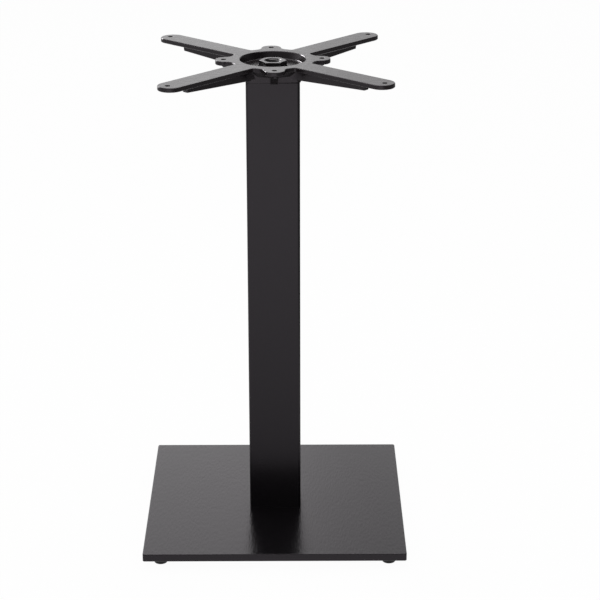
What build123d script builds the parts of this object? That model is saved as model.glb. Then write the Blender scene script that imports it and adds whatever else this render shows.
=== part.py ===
from build123d import *
from math import asin, atan2, cos, pi, radians, sin, sqrt, tan
import os

os.makedirs("parts", exist_ok=True)

# Square cast table base: plate on four levelling feet, square tube column and a
# four-armed spider, clamped together by one tie rod. Millimetres, +Z up, the
# origin on the floor under the column's axis, the front towards -Y.

# Fits
fit_gap = 0.3
edge_c = 0.8
near = 0.05

# Levelling feet
pad_height = 8.0
pad_top_d = 24.0
pad_bottom_d = 19.5
pad_edge_c = 1.0
pad_floor = 4.0
stud_d = 8.0
stud_head_d = 14.0
stud_head_h = 3.0
stud_chamfer = 0.8
foot_gap = 5.0
foot_stop_gap = 0.5
foot_inset = 26.0
foot_hole_skin = 2.5
foot_tip_gap = 0.5

# Base plate
plate_side = 400.0
plate_thickness = 12.0
plate_corner_r = 3.0
boss_height = 15.0
recess_lip = 1.0
recess_gap = 4.0

# Column
tube_side = 80.0
tube_wall = 2.0
tube_corner_r = 4.0
column_length = 690.0

# Tie rod and its nuts and washers
rod_d = 24.0
rod_clearance = 1.0
rod_end_chamfer = 2.0
rod_top_sunk = 4.0
nut_across_flats = 36.0
nut_corner_c = 1.3
nut_chamfer_angle = 30.0
top_nut_h = 21.5
bottom_nut_h = 12.0
washer_d = 42.0
washer_t = 4.0
nut_sunk = 2.0

# Spider
spider_turn = 2.4
spider_rise = 27.0
flange_t = 6.5
screw_hole_d = 8.0
arm_count = 4
arm_hole_pcd = 434.0
arm_root_w = 36.0
arm_tip_d = 37.5
arm_tip_back = 5.5
ear_hole_edge = 12.5
ear_out = 21.5
ear_w = 30.0
ear_flat = 3.0
ring_w = 15.0
valley_w = 7.8
valley_r = 4.0
bowl_d = 98.0
bowl_side_run = 3.0
bowl_depth = 10.5
bowl_floor_r = 2.0
bowl_rim_c = 1.0
bowl_wall = 7.0
bowl_floor_t = 6.5
bowl_under_taper = 40.0
pocket_gap = 0.7
spigot_depth = 10.0
collar_draft = 4.0
collar_corner_r = 6.0
rib_t = 10.0
rib_tip_depth = 16.3
rib_root_depth = 23.8
rib_end_back = 35.0
rib_end_slant = 2.0
rib_edge_r = 1.2
rib_root_r = 2.5
rib_web_r = 26.0
rib_web_lap = 0.6
gusset_t = 11.0
gusset_foot = 7.0
gusset_back = 6.0

# Levels and fits that follow from the sizes above
plate_bottom = pad_height + foot_gap
plate_top = plate_bottom + plate_thickness
column_top = plate_top + column_length
spider_level = column_top + spider_rise
tube_inside = tube_side - 2 * tube_wall
tube_inner_r = tube_corner_r - tube_wall
spigot_d = tube_inside - 2 * fit_gap
rod_hole_d = rod_d + 2 * rod_clearance
nut_bore_d = rod_d + 2 * fit_gap
washer_bore_d = rod_d + 2 * rod_clearance

foot_hole_depth = plate_thickness - foot_hole_skin
stud_reach = foot_hole_depth - foot_tip_gap + foot_stop_gap
foot_offset = plate_side / 2 - foot_inset

recess_depth = recess_lip + bottom_nut_h + washer_t
recess_d = washer_d + 2 * recess_gap
bottom_seat = plate_bottom + recess_depth
rod_bottom = bottom_seat - washer_t - bottom_nut_h

top_nut_top = spider_level - nut_sunk
top_seat = top_nut_top - top_nut_h - washer_t
rod_top = top_nut_top - rod_top_sunk
nut_corner_d = 2 * nut_across_flats / sqrt(3)
pocket_d = max(washer_d, nut_corner_d) + 2 * pocket_gap

arm_r = arm_hole_pcd / 2
arm_end_r = arm_r - arm_tip_back
ring_r = bowl_d / 2 + ring_w
arm_at_ring = arm_root_w + (arm_tip_d - arm_root_w) * ring_r / arm_end_r
ear_root_angle = pi / arm_count - asin(arm_at_ring / 2 / ring_r) - valley_w / ring_r
ear_reach = ring_r + ear_out
ear_corner_r = (ear_w - ear_flat) / 2
ear_side_end = ear_reach - ear_corner_r
ear_root_round = (ring_r * sin(ear_root_angle) - ear_w / 2) / (1 - sin(ear_root_angle))
ear_root_limit = (ear_side_end**2 - ring_r**2 + (ear_w / 2) ** 2) / (2 * ring_r - ear_w)
ear_root_r = min(ear_root_round, ear_root_limit - near)
ear_hole_r = ear_reach - ear_hole_edge
ear_corner_at = sqrt(ear_reach**2 + (ear_w / 2) ** 2)
rib_end = arm_r - rib_end_back
collar_h = spider_rise - flange_t
flange_level = spider_level - flange_t
bowl_floor_level = spider_level - bowl_depth
collar_half = tube_side / 2
bowl_floor_edge = bowl_d / 2 - bowl_side_run
web_corner = collar_half - rib_t / sqrt(2)
web_corner_at = sqrt(collar_half**2 + web_corner**2)
web_end = (collar_half + web_corner) / sqrt(2) + rib_web_r * tan(pi / 8) + rib_web_lap
rib_slope = (rib_root_depth - rib_tip_depth) / (rib_end - collar_half)
web_depth = rib_root_depth - rib_slope * (web_end - collar_half) - flange_t - rib_edge_r - rib_web_lap


def turned_plane(height: float) -> Plane:
    """Horizontal plane at a height, turned with the spider about the column."""
    turn = radians(spider_turn)
    return Plane(origin=(0, 0, height), x_dir=(cos(turn), sin(turn), 0), z_dir=(0, 0, 1))


def upright_plane(angle: float) -> Plane:
    """Upright plane through the axis: x runs out at the angle, y runs up from the spider's face."""
    a = radians(angle + spider_turn)
    return Plane(origin=(0, 0, spider_level), x_dir=(cos(a), sin(a), 0), z_dir=(sin(a), -cos(a), 0))


def spaced(start: float) -> list:
    """Even angles round the axis, one for each arm or ear."""
    return [start + 360 / arm_count * i for i in range(arm_count)]


def corners_at(sketch: BuildSketch, distance: float) -> ShapeList:
    """Corners of a sketch that lie at a distance from the axis."""
    return sketch.vertices().filter_by(lambda v: abs(sqrt(v.X**2 + v.Y**2) - distance) < near)


def off_ear(corner: Vertex) -> float:
    """Angle about the axis between a corner of the outline and the middle of the nearest ear."""
    pitch = 2 * pi / arm_count
    angle = atan2(corner.Y, corner.X) % pitch
    return min(angle, pitch - angle)


def runs_out(edge: Edge, half: float) -> bool:
    """True where a straight edge runs outwards, its line passing the axis at a distance in plan."""
    start = edge @ 0
    end = edge @ 1
    run = sqrt((end.X - start.X) ** 2 + (end.Y - start.Y) ** 2)
    return abs(abs(start.X * end.Y - start.Y * end.X) - half * run) < near * run


def lies_at(edge: Edge, height: float) -> bool:
    """True where both ends of an edge are at a height."""
    return abs((edge @ 0).Z - height) < near and abs((edge @ 1).Z - height) < near


arm_angles = spaced(45)
ear_angles = spaced(0)


def hex_nut(seat: float, height: float) -> Part:
    """Hexagon nut on a seat, with both faces turned back to a round chamfer."""
    corner_r = nut_across_flats / sqrt(3)
    face_r = corner_r - nut_corner_c
    drop = nut_corner_c * tan(radians(nut_chamfer_angle))
    with BuildPart() as nut:
        with BuildSketch(Plane.XY.offset(seat)):
            RegularPolygon(corner_r, 6)
            Circle(nut_bore_d / 2, mode=Mode.SUBTRACT)
        extrude(amount=height)
        with BuildSketch(Plane.XZ):
            with BuildLine():
                Polyline(
                    (0, seat),
                    (face_r, seat),
                    (corner_r, seat + drop),
                    (corner_r, seat + height - drop),
                    (face_r, seat + height),
                    (0, seat + height),
                    close=True,
                )
            make_face()
        revolve(axis=Axis.Z, mode=Mode.INTERSECT)
    return nut.part


def washer(seat: float) -> Part:
    """Plain washer lying on a seat."""
    with BuildPart() as ring:
        with BuildSketch(Plane.XY.offset(seat)):
            Circle(washer_d / 2)
            Circle(washer_bore_d / 2, mode=Mode.SUBTRACT)
        extrude(amount=washer_t)
    return ring.part


def foot_pad(x: float, y: float) -> Part:
    """Tapered moulded glide with a pocket for the stud's head."""
    with BuildPart() as pad:
        with BuildSketch(Plane(origin=(x, y, 0), x_dir=(1, 0, 0), z_dir=(0, -1, 0))):
            with BuildLine():
                Polyline(
                    (0, 0),
                    (pad_bottom_d / 2 - pad_edge_c, 0),
                    (pad_bottom_d / 2, pad_edge_c),
                    (pad_top_d / 2, pad_height),
                    (0, pad_height),
                    close=True,
                )
            make_face()
        revolve(axis=Axis((x, y, 0), (0, 0, 1)))
        with BuildSketch(Plane(origin=(x, y, pad_height), x_dir=(1, 0, 0), z_dir=(0, 0, 1))):
            Circle(stud_head_d / 2 + fit_gap)
        extrude(amount=pad_floor - pad_height, mode=Mode.SUBTRACT)
    return pad.part


def foot_stud(x: float, y: float) -> Part:
    """Headed levelling stud, its head on the pad's pocket floor."""
    with BuildPart() as stud:
        with BuildSketch(Plane(origin=(x, y, pad_floor), x_dir=(1, 0, 0), z_dir=(0, 0, 1))):
            Circle(stud_head_d / 2)
        extrude(amount=stud_head_h)
        with BuildSketch(Plane(origin=(x, y, pad_floor), x_dir=(1, 0, 0), z_dir=(0, 0, 1))):
            Circle(stud_d / 2)
        extrude(amount=pad_height - pad_floor + stud_reach)
        chamfer(stud.edges().sort_by(Axis.Z)[-1], stud_chamfer)
    return stud.part


foot_places = {
    "front_left": (-foot_offset, -foot_offset),
    "front_right": (foot_offset, -foot_offset),
    "back_left": (-foot_offset, foot_offset),
    "back_right": (foot_offset, foot_offset),
}

# Base plate: flat cast square with a round boss inside the tube, a recess for the
# lower nut and four blind foot holes.
with BuildPart() as base_plate:
    with BuildSketch(Plane.XY.offset(plate_bottom)):
        RectangleRounded(plate_side, plate_side, plate_corner_r)
    extrude(amount=plate_thickness)
    chamfer(base_plate.faces().sort_by(Axis.Z)[-1].edges(), edge_c)
    chamfer(base_plate.faces().sort_by(Axis.Z)[0].edges(), edge_c)
    with BuildSketch(Plane.XY.offset(plate_top)):
        Circle(spigot_d / 2)
    extrude(amount=boss_height)
    chamfer(base_plate.edges().group_by(Axis.Z)[-1], edge_c)
    with BuildSketch(Plane.XY.offset(plate_bottom)):
        Circle(recess_d / 2)
    extrude(amount=recess_depth, mode=Mode.SUBTRACT)
    with BuildSketch(Plane.XY.offset(bottom_seat)):
        Circle(rod_hole_d / 2)
    extrude(amount=plate_top + boss_height - bottom_seat, mode=Mode.SUBTRACT)
    with BuildSketch(Plane.XY.offset(plate_bottom)):
        with Locations(*foot_places.values()):
            Circle(stud_d / 2 + fit_gap)
    extrude(amount=foot_hole_depth, mode=Mode.SUBTRACT)
base_plate.part.label = "base_plate"
export_step(base_plate.part, "parts/base_plate.step")

# Column: rounded square tube standing on the plate.
with BuildPart() as column_tube:
    with BuildSketch(Plane.XY.offset(plate_top)):
        RectangleRounded(tube_side, tube_side, tube_corner_r)
        RectangleRounded(tube_inside, tube_inside, tube_inner_r, mode=Mode.SUBTRACT)
    extrude(amount=column_length)
column_tube.part.label = "column_tube"
export_step(column_tube.part, "parts/column_tube.step")

# Spider: one casting. A flat outline of ring, arms and ears, ribbed underneath, on a
# square collar that stands on the tube, with a bowl and pocket for the upper nut.
with BuildPart() as spider:
    with BuildSketch(turned_plane(spider_level)) as outline:
        Circle(ring_r)
        with PolarLocations(0, arm_count, start_angle=arm_angles[0]):
            Polygon(
                (0, -arm_root_w / 2),
                (arm_end_r, -arm_tip_d / 2),
                (arm_end_r, arm_tip_d / 2),
                (0, arm_root_w / 2),
                align=None,
            )
        with PolarLocations(arm_end_r, arm_count, start_angle=arm_angles[0]):
            Circle(arm_tip_d / 2)
        with PolarLocations(0, arm_count, start_angle=ear_angles[0]):
            Polygon(
                (0, -ear_w / 2),
                (ear_reach, -ear_w / 2),
                (ear_reach, ear_w / 2),
                (0, ear_w / 2),
                align=None,
            )
        fillet(corners_at(outline, ear_corner_at), ear_corner_r)
        ear_roots = corners_at(outline, ring_r).filter_by(lambda v: off_ear(v) < ear_root_angle)
        fillet(ear_roots, ear_root_r)
        arm_roots = corners_at(outline, ring_r).filter_by(lambda v: off_ear(v) > ear_root_angle + near / ring_r)
        fillet(arm_roots, valley_r)
    extrude(amount=-flange_t)
    chamfer(spider.faces().filter_by(Axis.Z).edges(), edge_c)
    for angle in arm_angles:
        with BuildSketch(upright_plane(angle)):
            with BuildLine():
                Polyline(
                    (collar_half, -flange_t),
                    (rib_end + rib_end_slant, -flange_t),
                    (rib_end, -rib_tip_depth),
                    (collar_half, -rib_root_depth),
                    close=True,
                )
            make_face()
        extrude(amount=rib_t / 2, both=True)
    for angle in ear_angles:
        with BuildSketch(upright_plane(angle)):
            with BuildLine():
                Polyline(
                    (collar_half - gusset_back, -flange_t),
                    (ear_reach - gusset_back, -flange_t),
                    (collar_half + gusset_foot, -spider_rise),
                    (collar_half - gusset_back, -spider_rise),
                    close=True,
                )
            make_face()
        extrude(amount=gusset_t / 2, both=True)
    beside_rib = spider.edges().filter_by(lambda e: runs_out(e, rib_t / 2) and not lies_at(e, flange_level))
    fillet(beside_rib.filter_by(lambda e: e.length > rib_end / 2), rib_edge_r)
    rib_roots = spider.edges().filter_by(GeomType.LINE).filter_by(lambda e: lies_at(e, flange_level))
    fillet(rib_roots.filter_by(lambda e: runs_out(e, rib_t / 2) or runs_out(e, gusset_t / 2)), rib_root_r)
    with BuildSketch(turned_plane(flange_level)):
        Circle(bowl_d / 2 + bowl_wall)
    extrude(amount=-(bowl_depth + bowl_floor_t - flange_t), taper=bowl_under_taper)
    with BuildSketch(turned_plane(flange_level)) as web:
        Rectangle(tube_side, tube_side)
        with PolarLocations(0, arm_count, start_angle=arm_angles[0]):
            Polygon(
                (0, -rib_t / 2),
                (web_end, -rib_t / 2),
                (web_end, rib_t / 2),
                (0, rib_t / 2),
                align=None,
            )
        fillet(corners_at(web, web_corner_at), rib_web_r)
    extrude(amount=-web_depth)
    with BuildSketch(turned_plane(column_top)):
        RectangleRounded(tube_side, tube_side, collar_corner_r)
    extrude(amount=collar_h, taper=-collar_draft)
    with BuildSketch(turned_plane(column_top)):
        Circle(spigot_d / 2)
    extrude(amount=-spigot_depth)
    with BuildSketch(Plane.XZ) as bowl:
        with BuildLine():
            Polyline(
                (0, spider_level),
                (bowl_d / 2 + bowl_rim_c, spider_level),
                (bowl_d / 2, spider_level - bowl_rim_c),
                (bowl_floor_edge, bowl_floor_level),
                (pocket_d / 2, bowl_floor_level),
                (pocket_d / 2, top_seat),
                (rod_hole_d / 2, top_seat),
                (rod_hole_d / 2, column_top - spigot_depth),
                (0, column_top - spigot_depth),
                close=True,
            )
        make_face()
        fillet(bowl.vertices().sort_by_distance((bowl_floor_edge, bowl_floor_level))[0], bowl_floor_r)
    revolve(axis=Axis.Z, mode=Mode.SUBTRACT)
    with BuildSketch(turned_plane(spider_level)):
        with PolarLocations(arm_r, arm_count, start_angle=arm_angles[0]):
            Circle(screw_hole_d / 2)
        with PolarLocations(ear_hole_r, arm_count, start_angle=ear_angles[0]):
            Circle(screw_hole_d / 2)
    extrude(amount=-spider_rise, mode=Mode.SUBTRACT)
spider.part.label = "spider"
export_step(spider.part, "parts/spider.step")

# Tie rod from the plate's recess to the spider's pocket.
with BuildPart() as tie_rod:
    with BuildSketch(Plane.XY.offset(rod_bottom)):
        Circle(rod_d / 2)
    extrude(amount=rod_top - rod_bottom)
    chamfer(tie_rod.edges().filter_by(GeomType.CIRCLE), rod_end_chamfer)
tie_rod.part.label = "tie_rod"
export_step(tie_rod.part, "parts/tie_rod.step")

with BuildPart() as top_washer:
    add(washer(top_seat))
top_washer.part.label = "top_washer"
export_step(top_washer.part, "parts/top_washer.step")

with BuildPart() as top_nut:
    add(hex_nut(top_seat + washer_t, top_nut_h))
top_nut.part.label = "top_nut"
export_step(top_nut.part, "parts/top_nut.step")

with BuildPart() as bottom_washer:
    add(washer(bottom_seat - washer_t))
bottom_washer.part.label = "bottom_washer"
export_step(bottom_washer.part, "parts/bottom_washer.step")

with BuildPart() as bottom_nut:
    add(hex_nut(rod_bottom, bottom_nut_h))
bottom_nut.part.label = "bottom_nut"
export_step(bottom_nut.part, "parts/bottom_nut.step")

# Four levelling feet, each a pad and its stud.
for place, (foot_x, foot_y) in foot_places.items():
    with BuildPart() as pad:
        add(foot_pad(foot_x, foot_y))
    pad.part.label = f"foot_pad_{place}"
    export_step(pad.part, f"parts/foot_pad_{place}.step")
    with BuildPart() as stud:
        add(foot_stud(foot_x, foot_y))
    stud.part.label = f"foot_stud_{place}"
    export_step(stud.part, f"parts/foot_stud_{place}.step")
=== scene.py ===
"""Looks of a cast iron table base: powder coat, plated fasteners, threads and a plain studio.

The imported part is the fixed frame. Its plate, column, spider and washers keep their own meshes and get
finishes here. The tie rod, the nuts and the levelling feet are redrawn as turned and threaded surfaces.
"""

import logging
import math
from dataclasses import dataclass, field
from enum import Enum
from typing import Any, Mapping, Optional, Sequence, Union

import bpy
import numpy as np
from mathutils import Matrix, Vector


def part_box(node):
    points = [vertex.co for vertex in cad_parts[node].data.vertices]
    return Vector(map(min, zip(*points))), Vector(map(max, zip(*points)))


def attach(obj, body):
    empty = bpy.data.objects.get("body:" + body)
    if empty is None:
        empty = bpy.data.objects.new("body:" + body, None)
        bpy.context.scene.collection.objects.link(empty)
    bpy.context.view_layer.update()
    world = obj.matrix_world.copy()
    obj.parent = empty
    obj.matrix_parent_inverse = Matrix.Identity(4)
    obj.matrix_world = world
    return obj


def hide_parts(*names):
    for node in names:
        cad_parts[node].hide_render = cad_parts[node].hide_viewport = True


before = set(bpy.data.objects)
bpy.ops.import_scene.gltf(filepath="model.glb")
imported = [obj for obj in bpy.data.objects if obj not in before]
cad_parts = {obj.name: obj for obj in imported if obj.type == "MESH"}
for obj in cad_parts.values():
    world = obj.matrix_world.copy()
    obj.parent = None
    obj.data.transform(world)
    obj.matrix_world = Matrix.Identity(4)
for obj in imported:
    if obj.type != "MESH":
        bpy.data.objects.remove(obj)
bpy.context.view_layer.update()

MM = 0.001
HALF = 0.5
EDGE_SAMPLES = 6
MIX_SHARE = 0
MIX_FIRST = 6
MIX_SECOND = 7
MIX_RESULT = 2
Colour = tuple[float, float, float]
Point = tuple[float, float, float]
Stops = tuple[tuple[float, float], ...]
Array = np.ndarray
WHITE: Colour = (1.0, 1.0, 1.0)
log = logging.getLogger("table_base")


class Slot(Enum):
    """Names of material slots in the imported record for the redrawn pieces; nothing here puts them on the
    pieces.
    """

    ROD = "plain_steel"
    FASTENER = "zinc_steel"
    PAD = "pad_plastic"


class Corner(Enum):
    """Corners of the plate, each with a levelling foot."""

    FRONT_LEFT = "front_left"
    FRONT_RIGHT = "front_right"
    BACK_LEFT = "back_left"
    BACK_RIGHT = "back_right"


class Wire:
    """An output socket on which arithmetic adds Math nodes to its sheet."""

    def __init__(self, sheet: "ShaderSheet", socket: bpy.types.NodeSocket) -> None:
        """Keeps the socket and the sheet it belongs to."""
        self.sheet = sheet
        self.socket = socket

    def _math(self, operation: str, first: "Feed", second: "Feed") -> "Wire":
        """One Math node on two values."""
        return self.sheet.add("Math", {"operation": operation}, {0: first, 1: second})

    def __add__(self, other: "Feed") -> "Wire":
        """self + other."""
        return self._math("ADD", self, other)

    def __radd__(self, other: "Feed") -> "Wire":
        """other + self."""
        return self._math("ADD", other, self)

    def __sub__(self, other: "Feed") -> "Wire":
        """self - other."""
        return self._math("SUBTRACT", self, other)

    def __rsub__(self, other: "Feed") -> "Wire":
        """other - self."""
        return self._math("SUBTRACT", other, self)

    def __mul__(self, other: "Feed") -> "Wire":
        """self * other."""
        return self._math("MULTIPLY", self, other)

    def __rmul__(self, other: "Feed") -> "Wire":
        """other * self."""
        return self._math("MULTIPLY", other, self)

    def __truediv__(self, other: "Feed") -> "Wire":
        """self / other."""
        return self._math("DIVIDE", self, other)

    def __rtruediv__(self, other: "Feed") -> "Wire":
        """other / self."""
        return self._math("DIVIDE", other, self)

    def either(self, other: "Feed") -> "Wire":
        """The larger of the two values."""
        return self._math("MAXIMUM", self, other)

    def clamped(self) -> "Wire":
        """This value held between 0 and 1."""
        return self.sheet.add("Clamp", {}, {"Value": self})


Feed = Union[Wire, float, Sequence[float]]


class ShaderSheet:
    """A node tree that is written as Python expressions."""

    def __init__(self, tree: bpy.types.NodeTree) -> None:
        """Empties the tree and keeps it."""
        self.tree = tree
        self.tree.nodes.clear()

    def add(
        self,
        kind: str,
        settings: Optional[Mapping[str, Any]] = None,
        inputs: Optional[Mapping[Union[str, int], Feed]] = None,
        output: Union[str, int] = 0,
    ) -> Wire:
        """Adds one node.

        Args:
            kind: The node's type without its ShaderNode prefix.
            settings: Properties to set first. A ramp's stops are pairs of place and colour.
            inputs: Values or wires by socket name or number.
            output: Which output to return.

        Returns:
            A wire from that output.
        """
        node = self.tree.nodes.new("ShaderNode" + kind)
        for key, value in (settings or {}).items():
            if key == "stops":
                self._fill_ramp(node.color_ramp, value)
            else:
                setattr(node, key, value)
        for key, value in (inputs or {}).items():
            if isinstance(value, Wire):
                self.tree.links.new(value.socket, node.inputs[key])
            else:
                node.inputs[key].default_value = value
        return Wire(self, node.outputs[output]) if len(node.outputs) else Wire(self, None)

    @staticmethod
    def _fill_ramp(ramp: bpy.types.ColorRamp, stops: Sequence[tuple[float, Colour]]) -> None:
        """Writes a ramp's stops.

        Args:
            ramp: The ramp, whose own stops are overwritten.
            stops: Pairs of place and colour, in order.
        """
        while len(ramp.elements) < len(stops):
            ramp.elements.new(1.0)
        for element, (place, colour) in zip(ramp.elements, stops):
            element.position = place
            element.color = (*colour, 1.0)

    def place(self) -> Wire:
        """Object coordinates, in metres in the part's own frame."""
        return self.add("TexCoord", output="Object")

    def noise(self, place: Wire, size: float, detail: float = 2.0, seed: float = 0.0) -> Wire:
        """Noise between 0 and 1 with lumps of about a size in metres."""
        moved = self.add("VectorMath", {"operation": "ADD"}, {0: place, 1: (seed, seed, seed)})
        return self.add("TexNoise", {}, {"Vector": moved, "Scale": 1.0 / size, "Detail": detail})

    def drawn_out(self, place: Wire, stretch: Point) -> Wire:
        """A place on which marks come out longer along X, Y and Z by the stretch."""
        fineness = tuple(1.0 / share for share in stretch)
        return self.add("VectorMath", {"operation": "MULTIPLY"}, {0: place, 1: fineness})

    def axis(self, place: Wire, name: str) -> Wire:
        """One coordinate of a place, by its name X, Y or Z."""
        return self.add("SeparateXYZ", inputs={0: place}, output=name)

    def way_share(self, way: Wire, name: str) -> Wire:
        """One coordinate of a direction, moved from between -1 and 1 to between 0 and 1."""
        return self.axis(way, name) * HALF + HALF

    def ramp(self, place: Wire, levels: Stops) -> Wire:
        """Grey level at a place between 0 and 1, from stops of place and level."""
        return self.add("ValToRGB", {"stops": grey_stops(levels)}, {0: place})

    def rounded(self, radius: float) -> Wire:
        """Normal of the surface with its sharp edges rounded to a radius."""
        return self.add("Bevel", {"samples": EDGE_SAMPLES}, {"Radius": radius})

    def edges(self, rounded: Wire) -> Wire:
        """How far a rounded normal leans away from the true one.

        Args:
            rounded: Normal of the surface with rounded edges.

        Returns:
            1 less the cosine of the angle between the two: 0 on flats, rising at edges.
        """
        true = self.add("NewGeometry", output="Normal")
        lean = self.add("VectorMath", {"operation": "DOT_PRODUCT"}, {0: rounded, 1: true}, "Value")
        return 1.0 - lean

    def blend(self, share: Wire, first: Feed, second: Feed) -> Wire:
        """Colour that goes from the first to the second as the share goes from 0 to 1."""
        inputs = {MIX_SHARE: share, MIX_FIRST: opaque(first), MIX_SECOND: opaque(second)}
        return self.add("Mix", {"data_type": "RGBA"}, inputs, MIX_RESULT)

    def bump(self, height: Wire, normal: Optional[Wire] = None) -> Wire:
        """Normal of a raised surface.

        Args:
            height: How far the surface is raised, in millimetres.
            normal: Normal of the surface before it is raised, where that isn't its own.

        Returns:
            The new normal.
        """
        inputs: dict[Union[str, int], Feed] = {"Strength": 1.0, "Distance": MM, "Height": height}
        if normal is not None:
            inputs["Normal"] = normal
        return self.add("Bump", {}, inputs)

    def surface(self, inputs: Mapping[Union[str, int], Feed]) -> None:
        """Ends the sheet in a Principled shader with these inputs."""
        shader = self.add("BsdfPrincipled", {}, inputs)
        self.add("OutputMaterial", {}, {"Surface": shader})


def opaque(colour: Feed) -> Feed:
    """A colour with a full alpha, or the wire as it is."""
    return colour if isinstance(colour, Wire) else (*colour, 1.0)


def grey_stops(levels: Stops) -> list[tuple[float, Colour]]:
    """Ramp stops in grey from pairs of place and level."""
    return [(place, (level, level, level)) for place, level in levels]


def new_material(name: str) -> tuple[bpy.types.Material, ShaderSheet]:
    """An empty material.

    Args:
        name: The material's name.

    Returns:
        The material and the sheet of its nodes.
    """
    material = bpy.data.materials.new(name)
    material.use_nodes = True
    return material, ShaderSheet(material.node_tree)


@dataclass(frozen=True)
class PowderCoat:
    """Black textured powder coat over iron or steel.

    Fine grain stands on a slower orange peel, which can be drawn out along an axis. Flecks show where the
    grain is high, and the coat turns paler on edges, where it is thin and where a painted highlight runs
    along them. Depths are in millimetres.
    """

    name: str
    coat: Colour = (0.0026, 0.0022, 0.0029)
    fleck: Colour = (0.014, 0.013, 0.014)
    # Pale edge colour: thin coat with a painted edge highlight.
    thin_coat_and_highlight: Colour = (0.050, 0.048, 0.049)
    sheen_tint: Colour = (1.0, 0.91, 1.0)
    roughness: float = 0.25
    swing: float = 0.06
    cloud_size: float = 60.0 * MM
    cloud_detail: float = 3.0
    grain_size: float = 1.1 * MM
    grain_detail: float = 2.0
    grain_seed: float = 0.7
    grain_depth: float = 0.012
    peel_size: float = 2.8 * MM
    peel_detail: float = 1.0
    peel_seed: float = 1.9
    peel_depth: float = 0.075
    peel_stretch: Point = (1.0, 1.0, 1.0)
    fleck_from: float = 0.60
    fleck_gain: float = 7.0
    fleck_base: float = 0.5
    edge_radius: float = 1.0 * MM
    edge_gain: float = 3.0
    edge_base: float = 0.4
    ior: float = 1.5

    def material(self) -> bpy.types.Material:
        """The finish as a material.

        Returns:
            A new material.
        """
        material, sheet = new_material(self.name)
        place = sheet.place()
        cloud = sheet.noise(place, self.cloud_size, self.cloud_detail)
        grain = sheet.noise(place, self.grain_size, self.grain_detail, self.grain_seed)
        drawn = sheet.drawn_out(place, self.peel_stretch)
        peel = sheet.noise(drawn, self.peel_size, self.peel_detail, self.peel_seed)
        rounded = sheet.rounded(self.edge_radius)
        edge = sheet.edges(rounded) * self.edge_gain * (self.edge_base + grain)
        high_grain = ((grain - self.fleck_from) * self.fleck_gain).clamped()
        fleck = high_grain * (self.fleck_base + cloud)
        flecked = sheet.blend(fleck.clamped(), self.coat, self.fleck)
        # Edges turn pale: partly thin coat, partly a painted highlight along every edge.
        colour = sheet.blend(edge.clamped(), flecked, self.thin_coat_and_highlight)
        rough = self.roughness + (cloud - HALF) * self.swing + (grain - HALF) * self.swing
        height = grain * self.grain_depth + peel * self.peel_depth
        sheet.surface(
            {
                "Base Color": colour,
                "Roughness": rough.clamped(),
                "IOR": self.ior,
                "Specular Tint": opaque(self.sheen_tint),
                "Normal": sheet.bump(height, rounded),
            }
        )
        return material


@dataclass(frozen=True)
class PlatedSteel:
    """Zinc plated or plain steel with fine turning marks and dull patches.

    Upright flanks are painted darker than the up-facing faces, a painted shade on the flanks.
    """

    name: str
    bright: Colour = (0.21, 0.20, 0.21)
    dull: Colour = (0.06, 0.06, 0.06)
    # Darker colour of the upright flanks: painted shade.
    flank_painted_shade: Colour = (0.085, 0.082, 0.083)
    roughness: float = 0.34
    swing: float = 0.22
    patch_size: float = 5.0 * MM
    patch_detail: float = 4.0
    mark_size: float = 0.5 * MM
    mark_detail: float = 2.0
    mark_seed: float = 0.3
    mark_depth: float = 0.012
    face_from: float = 0.8
    face_gain: float = 6.0
    edge_radius: float = 0.4 * MM

    def material(self) -> bpy.types.Material:
        """The finish as a material.

        A face is where the square of the normal's Z passes a limit; the flanks below it take the painted
        shade colour.

        Returns:
            A new material.
        """
        material, sheet = new_material(self.name)
        place = sheet.place()
        patch = sheet.noise(place, self.patch_size, self.patch_detail)
        mark = sheet.noise(place, self.mark_size, self.mark_detail, self.mark_seed)
        rounded = sheet.rounded(self.edge_radius)
        rise = sheet.axis(sheet.add("NewGeometry", output="True Normal"), "Z")
        # Up-facing faces keep the patchy plated tone; upright flanks get the painted shade.
        face = ((rise * rise - self.face_from) * self.face_gain).clamped()
        face_tone = sheet.blend(patch, self.dull, self.bright)
        rough = self.roughness + (patch - HALF) * self.swing + (mark - HALF) * self.swing
        sheet.surface(
            {
                "Base Color": sheet.blend(face, self.flank_painted_shade, face_tone),
                "Roughness": rough.clamped(),
                "Metallic": 1.0,
                "Normal": sheet.bump(mark * self.mark_depth, rounded),
            }
        )
        return material


@dataclass(frozen=True)
class MouldedPlastic:
    """Black moulded plastic with a fine spark texture and pale scuffs low down."""

    name: str
    colour: Colour = (0.006, 0.006, 0.006)
    scuff: Colour = (0.030, 0.030, 0.031)
    scuff_height: float = 2.5 * MM
    scuff_gain: float = 1.6
    roughness: float = 0.5
    swing: float = 0.2
    grain_size: float = 0.6 * MM
    grain_detail: float = 2.0
    grain_depth: float = 0.03
    smear_size: float = 2.4 * MM
    smear_detail: float = 4.0
    smear_seed: float = 0.4

    def material(self) -> bpy.types.Material:
        """The finish as a material.

        Returns:
            A new material.
        """
        material, sheet = new_material(self.name)
        place = sheet.place()
        grain = sheet.noise(place, self.grain_size, self.grain_detail)
        smear = sheet.noise(place, self.smear_size, self.smear_detail, self.smear_seed)
        low = (1.0 - sheet.axis(place, "Z") / self.scuff_height).clamped()
        scuffed = (low * smear * self.scuff_gain).clamped()
        rough = self.roughness + (grain - HALF) * self.swing + scuffed * self.swing
        sheet.surface(
            {
                "Base Color": sheet.blend(scuffed, self.colour, self.scuff),
                "Roughness": rough.clamped(),
                "Normal": sheet.bump(grain * self.grain_depth),
            }
        )
        return material


def round_angles(columns: int) -> Array:
    """Even angles round a full turn, in radians, as one row."""
    return np.arange(columns)[None, :] * (2.0 * math.pi / columns)


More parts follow.
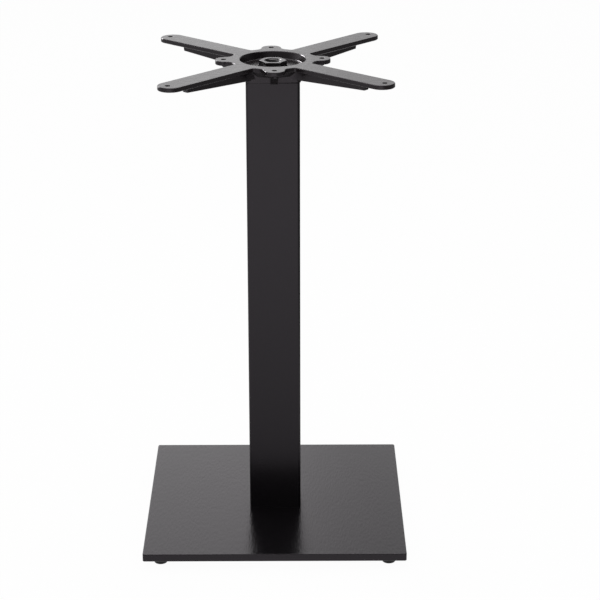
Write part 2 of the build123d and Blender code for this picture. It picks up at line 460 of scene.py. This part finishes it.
def turned_points(radius: Array, height: Array, axis: Sequence[float]) -> Array:
    """Points of a surface turned about an upright axis.

    Column k stands at the angle 2 pi k / n. A point is the axis plus its radius along that angle, at its
    height.

    Args:
        radius: Radius of each point, rows along the section and columns round the axis.
        height: Height of each point, of the same shape.
        axis: X and Y of the axis.

    Returns:
        Points of shape (rows, columns, 3).
    """
    angle = round_angles(radius.shape[1])
    along_x = axis[0] + radius * np.cos(angle)
    along_y = axis[1] + radius * np.sin(angle)
    return np.stack((along_x, along_y, np.broadcast_to(height, radius.shape)), axis=-1)


def ring_faces(rows: int, columns: int, closed: bool) -> Array:
    """Quads of a grid that is joined round its columns.

    Each quad spans a row and the next and a column and the next, by index arithmetic. A closed section also
    joins its last row to its first.

    Args:
        rows: Points along the section.
        columns: Points round the axis.
        closed: Whether the section is a loop.

    Returns:
        Corner numbers of shape (quads, 4), turning outwards where the section runs up the outside.
    """
    row = np.arange(rows if closed else rows - 1)[:, None]
    column = np.arange(columns)[None, :]
    here = row * columns
    there = (row + 1) % rows * columns
    after = (column + 1) % columns
    quads = np.stack((here + column, here + after, there + after, there + column), axis=-1)
    return quads.reshape(-1, 4)


def pole_faces(rows: int, columns: int) -> Array:
    """Triangles that close the first and the last row of a grid on two more points, its poles.

    The bottom pole is point rows x columns and the top pole the one after it.

    Args:
        rows: Points along the section.
        columns: Points round the axis.

    Returns:
        Corner numbers of shape (2 columns, 3).
    """
    column = np.arange(columns)
    after = (column + 1) % columns
    count = rows * columns
    top = count - columns
    bottom_fan = np.stack((np.full(columns, count), after, column), axis=-1)
    top_fan = np.stack((np.full(columns, count + 1), top + column, top + after), axis=-1)
    return np.concatenate((bottom_fan, top_fan))


def new_piece(name: str, points: Array, closed: bool, sharp_angle: float = 35.0) -> bpy.types.Object:
    """A mesh object over a turned grid of points.

    Args:
        name: The piece's name.
        points: Grid of shape (rows, columns, 3).
        closed: True where the section is a loop, False where both its ends close on the axis.
        sharp_angle: Edges that turn by more degrees than this stay crisp.

    Returns:
        The new object, linked to the scene.
    """
    rows, columns = points.shape[:2]
    corners = ring_faces(rows, columns, closed).tolist()
    flat = points.reshape(-1, 3)
    if not closed:
        poles = points[[0, -1]].mean(axis=1)
        flat = np.concatenate((flat, poles))
        corners += pole_faces(rows, columns).tolist()
    mesh = bpy.data.meshes.new(name)
    mesh.from_pydata(flat.tolist(), [], corners)
    mesh.shade_smooth()
    mesh.set_sharp_from_angle(angle=math.radians(sharp_angle))
    mesh.update()
    piece = bpy.data.objects.new(name, mesh)
    bpy.context.scene.collection.objects.link(piece)
    return piece


def rounded_section(corners: Sequence[Sequence[float]], steps: int = 5) -> Array:
    """A section whose corners are rounded.

    At a corner of radius r between two straight runs that turn by an angle, the arc starts and ends
    r tan(angle / 2) from the corner. Its points follow the quadratic curve between those two ends that
    leans on the corner.

    Args:
        corners: Radius, height and rounding of each corner, in metres, in order.
        steps: Points on each rounding.

    Returns:
        Radius and height of each point, of shape (points, 2).
    """
    given = np.array(corners, float)
    places = given[:, :2]
    inner = places[1:-1]
    runs = np.diff(places, axis=0)
    ways = runs / np.linalg.norm(runs, axis=1, keepdims=True)
    cosine = np.clip((ways[:-1] * ways[1:]).sum(axis=1), -1.0, 1.0)
    back = (given[1:-1, 2] * np.tan(np.arccos(cosine) / 2.0))[:, None]
    start = (inner - ways[:-1] * back)[:, None]
    end = (inner + ways[1:] * back)[:, None]
    share = np.linspace(0.0, 1.0, steps)[None, :, None]
    rest = 1.0 - share
    arcs = rest**2 * start + 2.0 * share * rest * inner[:, None] + share**2 * end
    return np.concatenate((places[:1], arcs.reshape(-1, 2), places[-1:]))


def dress_node(name: str, material: bpy.types.Material) -> bpy.types.Object:
    """Puts a material in the slots of a carried-over node.

    Args:
        name: The node's name.
        material: The material for all its slots.

    Returns:
        The node's object.
    """
    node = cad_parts[name]
    for slot in node.material_slots:
        slot.material = material
    return node


@dataclass(frozen=True)
class Thread:
    """Screw thread with straight flanks between a crest flat and a root flat, in shares of its pitch."""

    pitch: float
    depth: float
    crest: float = 0.125
    root: float = 0.25

    def dip(self, angle: Array, height: Array) -> Array:
        """How far the surface lies under the crest.

        The place within one pitch is height / pitch - angle / 2 pi, without its whole part. The dip is the
        full depth round the middle of the pitch, falls straight to 0 and stays there on the crest.

        Args:
            angle: Angles round the axis, as a row.
            height: Heights, as a column.

        Returns:
            Dips in metres, one for each height and angle.
        """
        place = (height / self.pitch - angle / (2.0 * math.pi)) % 1.0
        from_root = np.abs(place - HALF) * 2.0
        share = (from_root - self.root) / (1.0 - self.root - self.crest)
        return self.depth * (1.0 - np.clip(share, 0.0, 1.0))


class SubAssembly:
    """A group of pieces that is built and dressed together."""

    def build(self) -> list[bpy.types.Object]:
        """Makes the group's new pieces. A group of carried-over nodes alone makes none."""
        return []

    def dress(self) -> list[bpy.types.Object]:
        """Gives every piece of the group its finish."""
        raise NotImplementedError


@dataclass
class CoatedNode(SubAssembly):
    """Carried-over nodes that share one finish."""

    nodes: tuple[str, ...]
    finish: Union[PowderCoat, PlatedSteel]

    def dress(self) -> list[bpy.types.Object]:
        """Puts the finish on each node."""
        material = self.finish.material()
        return [dress_node(name, material) for name in self.nodes]


@dataclass
class TieRod(SubAssembly):
    """Round rod, threaded at both ends, that clamps the spider and the plate to the column."""

    finish: PlatedSteel
    thread: Thread
    node: str = "tie_rod"
    body: str = "stand"
    top_length: float = 60.0 * MM
    bottom_length: float = 36.0 * MM
    runout: float = 6.0 * MM
    end_chamfer: float = 2.0 * MM
    row_height: float = 0.3 * MM
    plain_rows: int = 12
    columns: int = 48
    pieces: list[bpy.types.Object] = field(default_factory=list)

    def build(self) -> list[bpy.types.Object]:
        """Makes the rod.

        The radius at an angle and height is the rod's, less the thread's dip where the rod is threaded, and
        never more than the cones that chamfer its two ends.

        Returns:
            The rod, alone in a list.
        """
        low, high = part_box(self.node)
        outer = (high.x - low.x) / 2.0
        lower_end = low.z + self.bottom_length
        upper_start = high.z - self.top_length
        heights = np.concatenate(
            (
                np.arange(low.z, lower_end, self.row_height),
                np.linspace(lower_end, upper_start, self.plain_rows),
                np.arange(high.z, upper_start, -self.row_height)[::-1],
            )
        )[:, None]
        angles = round_angles(self.columns)
        threaded = np.maximum(lower_end - heights, heights - upper_start) / self.runout
        dip = self.thread.dip(angles, heights) * np.clip(threaded, 0.0, 1.0)
        from_end = np.minimum(heights - low.z, high.z - heights)
        cone = outer - self.end_chamfer + from_end
        radius = np.minimum(outer - dip, cone)
        points = turned_points(radius, heights, (0.0, 0.0))
        rod = new_piece("threaded_rod", points, closed=False)
        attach(rod, self.body)
        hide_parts(self.node)
        self.pieces = [rod]
        return self.pieces

    def dress(self) -> list[bpy.types.Object]:
        """Puts the steel on the rod.

        Returns:
            The rod, alone in a list.
        """
        material = self.finish.material()
        for piece in self.pieces:
            piece.data.materials.append(material)
        return self.pieces


@dataclass
class HexNuts(SubAssembly):
    """Hexagon nuts on the tie rod, turned back at both faces, with a threaded bore."""

    finish: PlatedSteel
    thread: Thread
    nodes: tuple[str, ...] = ("top_nut", "bottom_nut")
    rod_node: str = "tie_rod"
    body: str = "stand"
    corner_chamfer: float = 1.3 * MM
    flat_margin: float = 0.5 * MM
    chamfer_angle: float = 30.0
    thread_gap: float = 0.15 * MM
    countersink: float = 0.8 * MM
    columns: int = 96
    chamfer_rows: int = 8
    row_height: float = 0.3 * MM
    sharp_angle: float = 25.0
    pieces: list[bpy.types.Object] = field(default_factory=list)

    def section(self, low: Vector, high: Vector, rod_r: float) -> tuple[Array, Array]:
        """Radius and height over the whole section of a nut, at every angle.

        The outside is the hexagon: half the width across flats, divided by the cosine of the angle from the
        middle of the nearest flat. Both faces fall away in a cone at the corners, outside the face circle.
        The bore is the rod's thread, opened by a gap, and a countersink cone at each end.

        Args:
            low: Lowest corner of the nut.
            high: Highest corner of the nut.
            rod_r: Radius of the rod.

        Returns:
            Radius and height, rows along the section and columns round the axis.
        """
        angles = round_angles(self.columns)
        corner_r = (high.x - low.x) / 2.0
        half_side = math.pi / 6.0
        flat_r = corner_r * math.cos(half_side)
        hexagon = flat_r / np.cos(angles % (2.0 * half_side) - half_side)
        face_r = corner_r - self.corner_chamfer
        flat_edge = flat_r - self.flat_margin
        slope = math.tan(math.radians(self.chamfer_angle))
        mouth = rod_r + self.thread_gap + self.countersink
        share = np.linspace(0.0, 1.0, self.chamfer_rows)[:, None]
        cone_r = flat_edge + (hexagon - flat_edge) * share
        fall = np.maximum(cone_r - face_r, 0.0) * slope
        steps = int((high.z - low.z) / self.row_height)
        bore_z = np.linspace(high.z, low.z, steps)[:, None]
        from_face = np.minimum(high.z - bore_z, bore_z - low.z)
        thread_r = rod_r + self.thread_gap - self.thread.dip(angles, bore_z)
        bore_r = np.maximum(thread_r, mouth - from_face)
        around = np.ones_like(angles)
        radius = np.concatenate((mouth * around, cone_r, cone_r[::-1], mouth * around, bore_r[1:-1]))
        height = np.concatenate(
            (
                low.z * around,
                low.z + fall,
                high.z - fall[::-1],
                high.z * around,
                np.broadcast_to(bore_z[1:-1], bore_r[1:-1].shape),
            )
        )
        return radius, height

    def build(self) -> list[bpy.types.Object]:
        """Makes each nut in the place of its node.

        Returns:
            The nuts.
        """
        rod_low, rod_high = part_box(self.rod_node)
        for node in self.nodes:
            low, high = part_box(node)
            radius, height = self.section(low, high, (rod_high.x - rod_low.x) / 2.0)
            points = turned_points(radius, height, (0.0, 0.0))
            nut = new_piece(f"threaded_{node}", points, closed=True, sharp_angle=self.sharp_angle)
            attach(nut, self.body)
            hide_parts(node)
            self.pieces.append(nut)
        return self.pieces

    def dress(self) -> list[bpy.types.Object]:
        """Puts the plating on the nuts.

        Returns:
            The nuts.
        """
        material = self.finish.material()
        for piece in self.pieces:
            piece.data.materials.append(material)
        return self.pieces


@dataclass
class LevellingFeet(SubAssembly):
    """Four moulded glides, each on a headed and threaded stud."""

    pad_finish: MouldedPlastic
    stud_finish: PlatedSteel
    thread: Thread
    pad_bottom_d: float = 19.5 * MM
    pocket_d: float = 14.6 * MM
    pocket_floor: float = 4.0 * MM
    grip_d: float = 11.0 * MM
    grip_depth: float = 0.5 * MM
    edge_r: float = 1.4 * MM
    lip_r: float = 0.5 * MM
    head_h: float = 3.0 * MM
    head_r: float = 0.5 * MM
    stud_d: float = 8.0 * MM
    tip_chamfer: float = 0.8 * MM
    row_height: float = 0.125 * MM
    columns: int = 48
    pads: list[bpy.types.Object] = field(default_factory=list)
    studs: list[bpy.types.Object] = field(default_factory=list)

    def pad_section(self, low: Vector, high: Vector) -> Array:
        """Section of a glide: dished underneath, tapered outside, with a pocket in its top.

        Args:
            low: Lowest corner of the glide.
            high: Highest corner of the glide.

        Returns:
            Radius and height of each point, of shape (points, 2).
        """
        bottom_r = self.pad_bottom_d / 2.0
        top_r = (high.x - low.x) / 2.0
        pocket_r = self.pocket_d / 2.0
        dish_r = self.grip_d / 2.0
        return rounded_section(
            (
                (dish_r - self.grip_depth - self.lip_r, low.z + self.grip_depth, 0.0),
                (dish_r - self.grip_depth, low.z + self.grip_depth, self.lip_r / 2.0),
                (dish_r, low.z, self.lip_r / 2.0),
                (bottom_r, low.z, self.edge_r),
                (top_r, high.z, self.lip_r),
                (pocket_r, high.z, self.lip_r),
                (pocket_r, low.z + self.pocket_floor, self.lip_r),
                (pocket_r - 2.0 * self.lip_r, low.z + self.pocket_floor, 0.0),
            )
        )

    def stud_points(self, low: Vector, high: Vector, axis: Sequence[float]) -> Array:
        """Points of a stud.

        The head is a rounded section. The shank's radius is the stud's, less the thread's dip, and never more
        than the cone that chamfers its tip.

        Args:
            low: Lowest corner of the stud.
            high: Highest corner of the stud.
            axis: X and Y of the stud's axis.

        Returns:
            Points of shape (rows, columns, 3).
        """
        head_out = (high.x - low.x) / 2.0
        shank_r = self.stud_d / 2.0
        head_top = low.z + self.head_h
        head = rounded_section(
            (
                (head_out - 2.0 * self.head_r, low.z, 0.0),
                (head_out, low.z, self.head_r),
                (head_out, head_top, self.head_r),
                (shank_r, head_top, 0.0),
            )
        )
        angles = round_angles(self.columns)
        heights = np.arange(head_top + self.row_height, high.z, self.row_height)[:, None]
        cone = shank_r - self.tip_chamfer + (high.z - heights)
        shank = np.minimum(shank_r - self.thread.dip(angles, heights), cone)
        around = np.ones_like(angles)
        radius = np.concatenate((head[:, :1] * around, shank))
        height = np.concatenate((head[:, 1:], heights)) * around
        return turned_points(radius, height, axis)

    def build(self) -> list[bpy.types.Object]:
        """Makes a glide and a stud at each corner, on that corner's own body.

        Returns:
            The glides, then the studs.
        """
        for corner in Corner:
            body = f"foot_{corner.value}"
            pad_node = f"foot_pad_{corner.value}"
            stud_node = f"foot_stud_{corner.value}"
            low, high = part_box(pad_node)
            axis = ((low + high) / 2.0)[:2]
            section = self.pad_section(low, high)
            around = np.ones((1, self.columns))
            pad_points = turned_points(section[:, :1] * around, section[:, 1:] * around, axis)
            pad = new_piece(f"glide_{corner.value}", pad_points, closed=False)
            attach(pad, body)
            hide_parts(pad_node)
            self.pads.append(pad)
            stud_points = self.stud_points(*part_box(stud_node), axis)
            stud = new_piece(f"threaded_stud_{corner.value}", stud_points, closed=False)
            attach(stud, body)
            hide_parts(stud_node)
            self.studs.append(stud)
        return self.pads + self.studs

    def dress(self) -> list[bpy.types.Object]:
        """Puts plastic on the glides and plating on the studs.

        Returns:
            The glides, then the studs.
        """
        plastic = self.pad_finish.material()
        plating = self.stud_finish.material()
        for pad in self.pads:
            pad.data.materials.append(plastic)
        for stud in self.studs:
            stud.data.materials.append(plating)
        return self.pads + self.studs


@dataclass(frozen=True)
class Softbox:
    """A square soft lamp. Its beam can be held to a cone of some degrees."""

    name: str
    place: Point
    target: Point
    side: float
    power: float
    beam: float = 180.0

    def build(self) -> bpy.types.Object:
        """Hangs the lamp at its place, facing its target.

        Returns:
            The lamp's object.
        """
        lamp = bpy.data.lights.new(self.name, "AREA")
        lamp.shape = "SQUARE"
        lamp.size = self.side
        lamp.energy = self.power
        lamp.spread = math.radians(self.beam)
        holder = bpy.data.objects.new(self.name, lamp)
        holder.location = self.place
        facing = Vector(self.target) - Vector(self.place)
        holder.rotation_mode = "QUATERNION"
        holder.rotation_quaternion = facing.to_track_quat("-Z", "Y")
        holder.visible_camera = False
        bpy.context.scene.collection.objects.link(holder)
        return holder


@dataclass(frozen=True)
class Viewpoint:
    """Where the camera stands: its place, its angles in degrees and its focal length in pixels."""

    place: Point = (28.36 * MM, -2935.22 * MM, 1451.39 * MM)
    yaw: float = 0.221
    pitch: float = 20.384
    roll: float = -0.089
    focal_px: float = 2024.4
    image_px: float = 600.0
    sensor: float = 36.0

    def build(self) -> bpy.types.Object:
        """Sets up the scene's camera.

        Returns:
            The camera's object.
        """
        yaw, pitch, roll = (math.radians(angle) for angle in (self.yaw, self.pitch, self.roll))
        reach = math.cos(pitch)
        ahead = Vector((math.sin(yaw) * reach, math.cos(yaw) * reach, -math.sin(pitch)))
        level = Vector((math.cos(yaw), -math.sin(yaw), 0.0))
        upright = level.cross(ahead)
        right = math.cos(roll) * level + math.sin(roll) * upright
        up = math.cos(roll) * upright - math.sin(roll) * level
        turn = Matrix((right, up, -ahead)).transposed()
        lens = bpy.data.cameras.new("camera")
        lens.sensor_width = self.sensor
        lens.lens = self.focal_px / self.image_px * self.sensor
        camera = bpy.data.objects.new("camera", lens)
        camera.matrix_world = Matrix.Translation(self.place) @ turn.to_4x4()
        bpy.context.scene.collection.objects.link(camera)
        bpy.context.scene.camera = camera
        return camera


@dataclass(frozen=True)
class Studio:
    """White floor and surroundings, soft lamps and the camera."""

    viewpoint: Viewpoint
    lamps: tuple[Softbox, ...]
    floor_side: float = 14.0
    floor_colour: Colour = (0.86, 0.86, 0.86)
    floor_lift: float = 0.97
    ambient: float = 0.55
    # Painted shade of the part on the floor in mirror images, by distance from the part.
    painted_shade_reach: float = 3.0
    painted_shade_stops: Stops = (
        (0.00, 0.44),
        (0.10, 0.47),
        (0.17, 0.57),
        (0.30, 0.70),
        (0.57, 0.90),
        (0.87, 1.00),
    )
    paper_span: float = 4.0
    paper_stops: Stops = (
        (0.05, 0.50),
        (0.20, 1.00),
        (0.64, 1.00),
        (0.72, 0.22),
    )
    front_stops: Stops = ((0.30, 0.30), (0.60, 1.00))
    side_stops: Stops = ((0.62, 1.00), (0.80, 0.12))
    height_stops: Stops = ((0.695, 1.00), (0.765, 0.30))

    @staticmethod
    def mirrored(sheet: ShaderSheet) -> Wire:
        """1 for mirrored and refracted rays, 0 for the others."""
        glossy = sheet.add("LightPath", output="Is Glossy Ray")
        return glossy.either(sheet.add("LightPath", output="Is Transmission Ray"))

    def build_world(self) -> None:
        """White surroundings that light the part at a plain level.

        Their mirror image is dimmer at the front, at the right and high up.
        """
        world = bpy.data.worlds.new("studio")
        world.use_nodes = True
        bpy.context.scene.world = world
        sheet = ShaderSheet(world.node_tree)
        mirrored = self.mirrored(sheet)
        seen = sheet.add("LightPath", output="Is Camera Ray").either(mirrored)
        way = sheet.place()
        falls = (("X", self.side_stops), ("Y", self.front_stops), ("Z", self.height_stops))
        side, front, height = (sheet.ramp(sheet.way_share(way, name), stops) for name, stops in falls)
        colour = sheet.blend(mirrored, WHITE, side * front * height)
        strength = self.ambient + seen * (1.0 - self.ambient)
        glow = sheet.add("Background", {}, {"Color": colour, "Strength": strength})
        sheet.add("OutputWorld", {}, {"Surface": glow})

    def mirrored_floor(self, sheet: ShaderSheet) -> Wire:
        """Brightness of the floor in mirror images.

        The floor is a paper strip there, which ends at the right. Its darkening towards the part is a painted
        shade of the part on the floor.

        Args:
            sheet: The floor's sheet.

        Returns:
            A level between 0 and 1.
        """
        place = sheet.place()
        reach = sheet.add("VectorMath", {"operation": "LENGTH"}, {0: place}, "Value")
        across = sheet.axis(place, "X") / self.paper_span + HALF
        # Painted shade: the mirrored floor darkens towards the part.
        shade_towards_part = sheet.ramp(reach / self.painted_shade_reach, self.painted_shade_stops)
        return shade_towards_part * sheet.ramp(across, self.paper_stops)

    def build_floor(self) -> bpy.types.Object:
        """Pale floor that shows nearly white and keeps the part's shadow.

        Returns:
            The floor's object.
        """
        half = self.floor_side / 2.0
        ends = np.array((-half, half))
        across, back = np.meshgrid(ends, ends)
        points = np.stack((across, back, np.zeros_like(across)), axis=-1).reshape(-1, 3)
        mesh = bpy.data.meshes.new("floor")
        mesh.from_pydata(points.tolist(), [], [(0, 1, 3, 2)])
        floor = bpy.data.objects.new("floor", mesh)
        bpy.context.scene.collection.objects.link(floor)
        material, sheet = new_material("pale_floor")
        lit = sheet.add("BsdfDiffuse", {}, {"Color": opaque(self.floor_colour)})
        white = sheet.add("Emission", {}, {"Color": opaque(WHITE), "Strength": 1.0})
        camera = sheet.add("LightPath", output="Is Camera Ray")
        shown = sheet.add("MixShader", {}, {0: camera * self.floor_lift, 1: lit, 2: white})
        image = sheet.add("Emission", {}, {"Color": self.mirrored_floor(sheet), "Strength": 1.0})
        mixed = sheet.add("MixShader", {}, {0: self.mirrored(sheet), 1: shown, 2: image})
        sheet.add("OutputMaterial", {}, {"Surface": mixed})
        mesh.materials.append(material)
        return floor

    def build(self) -> None:
        """Sets up the whole studio."""
        self.viewpoint.build()
        self.build_world()
        self.build_floor()
        for lamp in self.lamps:
            lamp.build()
        bpy.context.scene.view_settings.view_transform = "Standard"


def sub_assemblies() -> list[SubAssembly]:
    """The object's groups of pieces with their finishes.

    Returns:
        The groups, from the floor up.
    """
    coarse = Thread(pitch=3.0 * MM, depth=1.7 * MM)
    fine = Thread(pitch=1.25 * MM, depth=0.7 * MM)
    plate_coat = PowderCoat(
        "plate_powder_coat",
        coat=(0.0030, 0.0026, 0.0032),
        roughness=0.20,
        peel_size=2.2 * MM,
        peel_depth=0.16,
        peel_stretch=(1.0, 5.0, 1.0),
        ior=1.625,
    )
    spider_coat = PowderCoat(
        "spider_powder_coat",
        coat=(0.0088, 0.0069, 0.0075),
        fleck=(0.030, 0.029, 0.029),
        roughness=0.24,
        swing=0.14,
        cloud_size=9.0 * MM,
        grain_depth=0.030,
        peel_size=5.0 * MM,
        peel_depth=0.20,
    )
    # Near-black steel on the rod end down the nut's bore: a painted shade of the bore.
    rod_shade_steel = PlatedSteel(
        "rod_steel_painted_shade",
        bright=(0.020, 0.020, 0.020),
        dull=(0.008, 0.008, 0.008),
        roughness=0.75,
    )
    return [
        LevellingFeet(MouldedPlastic("pad_plastic_black"), PlatedSteel("stud_plating"), fine),
        CoatedNode(("base_plate",), plate_coat),
        CoatedNode(("column_tube",), PowderCoat("column_powder_coat")),
        CoatedNode(("spider",), spider_coat),
        TieRod(rod_shade_steel, coarse),
        CoatedNode(("top_washer", "bottom_washer"), PlatedSteel("washer_plating")),
        HexNuts(PlatedSteel("zinc_plating"), coarse),
    ]


def studio_lamps() -> tuple[Softbox, ...]:
    """The studio's lamps.

    Returns:
        A weak lamp overhead, a narrow one that picks out the bowl's rim, and one behind at the left.
    """
    return (
        Softbox("overhead", place=(-0.2, 0.4, 2.4), target=(-0.1, 0.0, 0.5), side=2.0, power=24.0),
        Softbox(
            "left_key",
            place=(-1.57, 1.74, 1.87),
            target=(0.0, 0.0, 0.78),
            side=0.8,
            power=1.1,
            beam=26.0,
        ),
        Softbox("back_left", place=(-1.05, 3.0, 1.5), target=(0.0, 0.0, 0.5), side=2.4, power=5.7),
    )


def main() -> None:
    """Builds and dresses the object's groups, then the studio, and reports each piece."""
    logging.basicConfig(level=logging.INFO, format="%(name)s: %(message)s")
    for group in sub_assemblies():
        group.build()
        for piece in group.dress():
            log.info("%s: %d faces", piece.name, len(piece.data.polygons))
    Studio(Viewpoint(), studio_lamps()).build()


if __name__ == "__main__":
    main()
